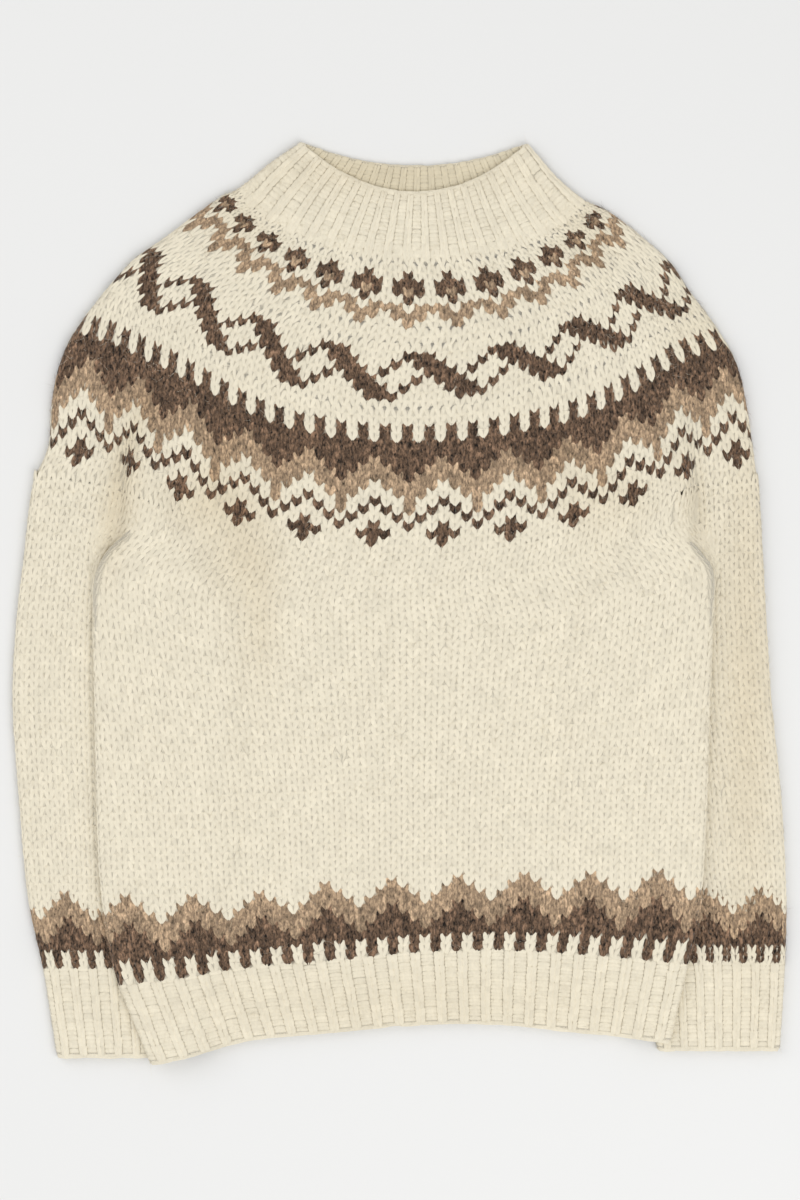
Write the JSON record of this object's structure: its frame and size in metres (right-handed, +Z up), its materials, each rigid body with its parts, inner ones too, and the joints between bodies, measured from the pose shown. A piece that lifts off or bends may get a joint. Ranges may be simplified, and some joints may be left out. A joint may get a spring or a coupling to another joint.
{
  "type": "fair isle sweater laid flat",
  "caption": "Round-yoke knitted wool pullover lying flat on its back, cream with brown patterned bands on yoke, hem and sleeves, and ribbed collar, hem and cuffs.",
  "frame": {"origin": "middle of the laid garment's outline, on the surface it lies on", "axes": "+Y from the hem towards the collar, +X to the viewer's right across the front, +Z up out of the front"},
  "size_m": [0.5424, 0.646, 0.0185],
  "materials": {
    "stocking_knit": "bulky loosely spun wool in stocking stitch, cream with mid and dark brown bands, fuzzy and matte",
    "ribbed_knit": "the same cream wool in knit one purl one rib, fuzzy and matte"
  },
  "bodies": {
    "root": {"yoke": "stocking_knit", "collar": "ribbed_knit", "body": "stocking_knit", "hem_rib": "ribbed_knit", "sleeve_left": "stocking_knit", "sleeve_right": "stocking_knit", "cuff_left": "ribbed_knit", "cuff_right": "ribbed_knit"}
  },
  "joints": []
}
